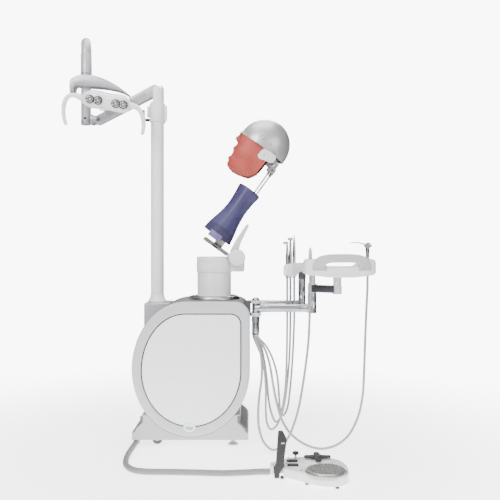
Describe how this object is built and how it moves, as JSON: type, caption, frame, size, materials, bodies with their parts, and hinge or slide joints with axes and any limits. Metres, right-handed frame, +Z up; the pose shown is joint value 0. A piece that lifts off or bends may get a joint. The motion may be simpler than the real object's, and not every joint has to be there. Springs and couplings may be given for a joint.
{
  "type": "dental simulation unit",
  "caption": "Mobile dental simulation unit: phantom head with typodont jaws on a tilting torso, operating light, instrument tray with hoses and a foot control.",
  "frame": {"origin": "centre of the bounding box on the floor", "axes": "+X to the unit's right seen from the front, +Y from the front door to the rear cover, +Z up"},
  "size_m": [1.2836, 0.866, 1.713],
  "materials": {
    "white_panel": "satin white moulded panel",
    "frame_pearl": "satin pearl grey bezel",
    "plinth_grey": "fine textured light grey",
    "shell_grey": "light grey coated sheet",
    "white_paint": "white powder coat",
    "lamp_white": "glossy white moulding",
    "arm_grey": "light grey painted cast arm",
    "lens_clear": "clear lenses over dark reflector rings",
    "bright_steel": "polished steel",
    "joint_metal": "satin grey cast joint",
    "helmet_silver": "satin silver skull",
    "mask_skin": "matte terracotta silicone mask",
    "typodont_ivory": "ivory teeth in pink gum",
    "torso_violet": "blue violet moulded skin",
    "arm_aluminium": "brushed anodised tube",
    "tray_white": "satin white moulding",
    "instrument_steel": "satin steel",
    "hose_grey": "smooth light grey silicone hose",
    "pedal_hose_grey": "ribbed grey sheath",
    "pedal_white": "white enamel",
    "pedal_metal": "satin pressed disc",
    "control_black": "matte black rubber",
    "handle_dark": "dark grey coated strip",
    "wheel_tyre": "black tyre with steel hub",
    "inner_plate": "grey shelf",
    "box_dark": "dark control box",
    "bottle_clear": "translucent bottle with blue cap"
  },
  "bodies": {
    "root": {"base_plinth": "plinth_grey", "cabinet_shell": "shell_grey", "front_frame": "frame_pearl", "rear_cover": "white_panel", "pole_housing": "shell_grey", "inner_shelf": "inner_plate", "power_supply": "box_dark", "water_bottle": "bottle_clear", "foot_front": "bright_steel", "foot_rear": "bright_steel", "light_post": "white_paint", "post_collar": "white_paint", "column_base": "white_paint", "arm_bracket": "joint_metal", "pedal_hose": "pedal_hose_grey", "pedal_base": "pedal_white", "lift_handle": "handle_dark"},
    "door": {"front_door": "white_panel"},
    "castor_front": {"castor_fork_front": "bright_steel"},
    "wheel_front": {"castor_wheel_front": "wheel_tyre"},
    "castor_rear": {"castor_fork_rear": "bright_steel"},
    "wheel_rear": {"castor_wheel_rear": "wheel_tyre"},
    "light_turret": {"light_elbow": "white_paint"},
    "light_boom": {"light_arm": "arm_grey"},
    "light_knuckle": {"arm_knuckle": "arm_grey"},
    "light_gooseneck": {"gooseneck": "white_paint"},
    "light_yoke": {"lamp_yoke": "arm_grey"},
    "lamp": {"lamp_body": "lamp_white", "lens_panel": "lens_clear", "lamp_handle_left": "lamp_white", "lamp_handle_right": "lamp_white"},
    "column_top": {"column_sleeve": "white_paint"},
    "torso": {"tilt_arm": "joint_metal", "torso_cover": "torso_violet", "neck_socket": "bright_steel"},
    "neck": {"neck_rods": "bright_steel"},
    "head": {"skull_helmet": "helmet_silver", "skull_base": "bright_steel", "face_mask": "mask_skin", "upper_jaw": "typodont_ivory"},
    "jaw": {"lower_jaw": "typodont_ivory"},
    "delivery": {"delivery_arm": "arm_aluminium", "hose_syringe": "hose_grey", "hose_scaler": "hose_grey", "hose_a": "hose_grey", "hose_b": "hose_grey", "hose_c": "hose_grey"},
    "rack": {"instrument_rack": "tray_white", "handpiece_a": "instrument_steel", "handpiece_b": "instrument_steel", "handpiece_c": "instrument_steel"},
    "link": {"link_arm": "joint_metal"},
    "tray": {"tray_body": "tray_white", "syringe": "instrument_steel", "scaler_handpiece": "instrument_steel"},
    "disc": {"disc_pedal": "pedal_metal"},
    "cross": {"cross_pedal": "control_black"},
    "button_1": {"pedal_button_1": "control_black"},
    "button_2": {"pedal_button_2": "control_black"},
    "knob": {"pedal_knob": "control_black"}
  },
  "joints": [
    {"name": "door_hinge", "type": "hinge", "parent": "root", "child": "door", "pos_m": [0.11677, 0.054, 0.31], "axis": [0, 0, 1], "range_deg": [0, 75]},
    {"name": "castor_swivel_front", "type": "hinge", "parent": "root", "child": "castor_front", "pos_m": [-0.23723, 0.115, 0.03], "axis": [0, 0, 1], "continuous": true},
    {"name": "wheel_spin_front", "type": "hinge", "parent": "castor_front", "child": "wheel_front", "pos_m": [-0.22323, 0.115, 0.022], "axis": [0, 1, 0], "continuous": true},
    {"name": "castor_swivel_rear", "type": "hinge", "parent": "root", "child": "castor_rear", "pos_m": [-0.23723, 0.371, 0.03], "axis": [0, 0, 1], "continuous": true},
    {"name": "wheel_spin_rear", "type": "hinge", "parent": "castor_rear", "child": "wheel_rear", "pos_m": [-0.22323, 0.371, 0.022], "axis": [0, 1, 0], "continuous": true},
    {"name": "light_swivel", "type": "hinge", "parent": "root", "child": "light_turret", "pos_m": [-0.25523, 0.353, 1.47], "axis": [0, 0, 1], "range_deg": [-90, 45]},
    {"name": "light_pitch", "type": "hinge", "parent": "light_turret", "child": "light_boom", "pos_m": [-0.26523, 0.353, 1.497], "axis": [0, 1, 0], "range_deg": [-12, 12]},
    {"name": "knuckle_level", "type": "hinge", "parent": "light_boom", "child": "light_knuckle", "pos_m": [-0.51323, 0.353, 1.366], "axis": [0, 1, 0], "range_deg": [-12, 12]},
    {"name": "gooseneck_swivel", "type": "hinge", "parent": "light_knuckle", "child": "light_gooseneck", "pos_m": [-0.57123, 0.353, 1.36], "axis": [0, 0, 1], "range_deg": [-60, 5]},
    {"name": "yoke_swivel", "type": "hinge", "parent": "light_gooseneck", "child": "light_yoke", "pos_m": [-0.54423, 0.243, 1.54], "axis": [0, 0, 1], "range_deg": [-45, 10]},
    {"name": "lamp_tilt", "type": "hinge", "parent": "light_yoke", "child": "lamp", "pos_m": [-0.45083, 0.203, 1.4186], "axis": [0.9877, 0, -0.1564], "range_deg": [-30, 30]},
    {"name": "column_swivel", "type": "hinge", "parent": "root", "child": "column_top", "pos_m": [0.00177, 0.253, 0.7], "axis": [0, 0, 1], "range_deg": [-60, 60]},
    {"name": "torso_tilt", "type": "hinge", "parent": "column_top", "child": "torso", "pos_m": [0.09977, 0.253, 0.76], "axis": [0, 1, 0], "range_deg": [0, 40]},
    {"name": "neck_slide", "type": "slide", "parent": "torso", "child": "neck", "axis": [0.5878, 0, 0.809], "range_m": [-0.008, 0.04]},
    {"name": "head_nod", "type": "hinge", "parent": "neck", "child": "head", "pos_m": [0.25067, 0.253, 1.14974], "axis": [0, 1, 0], "range_deg": [-10, 25]},
    {"name": "jaw_close", "type": "hinge", "parent": "head", "child": "jaw", "pos_m": [0.2014, 0.253, 1.18059], "axis": [0, 1, 0], "range_deg": [0, 20], "deforming": ["face_mask"]},
    {"name": "delivery_swivel", "type": "hinge", "parent": "root", "child": "delivery", "pos_m": [0.17777, 0.093, 0.557], "axis": [0, 0, 1], "range_deg": [-70, 10]},
    {"name": "rack_swivel", "type": "hinge", "parent": "delivery", "child": "rack", "pos_m": [0.37277, 0.193, 0.68], "axis": [0, 0, 1], "range_deg": [-15, 15], "deforming": ["hose_a", "hose_b", "hose_c"]},
    {"name": "link_swivel", "type": "hinge", "parent": "delivery", "child": "link", "pos_m": [0.40677, 0.093, 0.637], "axis": [0, 0, 1], "range_deg": [-10, 45], "deforming": ["hose_syringe", "hose_scaler"]},
    {"name": "tray_swivel", "type": "hinge", "parent": "link", "child": "tray", "pos_m": [0.49877, 0.013, 0.67], "axis": [0, 0, 1], "range_deg": [-5, 35]},
    {"name": "disc_press", "type": "slide", "parent": "root", "child": "disc", "axis": [0, 0, 1], "range_m": [-0.004, 0], "stiffness_N_per_m": 4000, "springref_m": 0.005},
    {"name": "cross_press", "type": "slide", "parent": "root", "child": "cross", "axis": [0, 0, 1], "range_m": [-0.003, 0], "stiffness_N_per_m": 1500, "springref_m": 0.003},
    {"name": "button_press_1", "type": "slide", "parent": "root", "child": "button_1", "axis": [0, 0, 1], "range_m": [-0.003, 0], "stiffness_N_per_m": 600, "springref_m": 0.003},
    {"name": "button_press_2", "type": "slide", "parent": "root", "child": "button_2", "axis": [0, 0, 1], "range_m": [-0.003, 0], "stiffness_N_per_m": 600, "springref_m": 0.003},
    {"name": "knob_turn", "type": "hinge", "parent": "root", "child": "knob", "pos_m": [0.31977, -0.214, 0.05], "axis": [0, 0, 1], "range_deg": [-135, 135]}
  ],
  "couplings": [
    {"joint": "knuckle_level", "follows": "light_pitch", "ratio": -1}
  ]
}
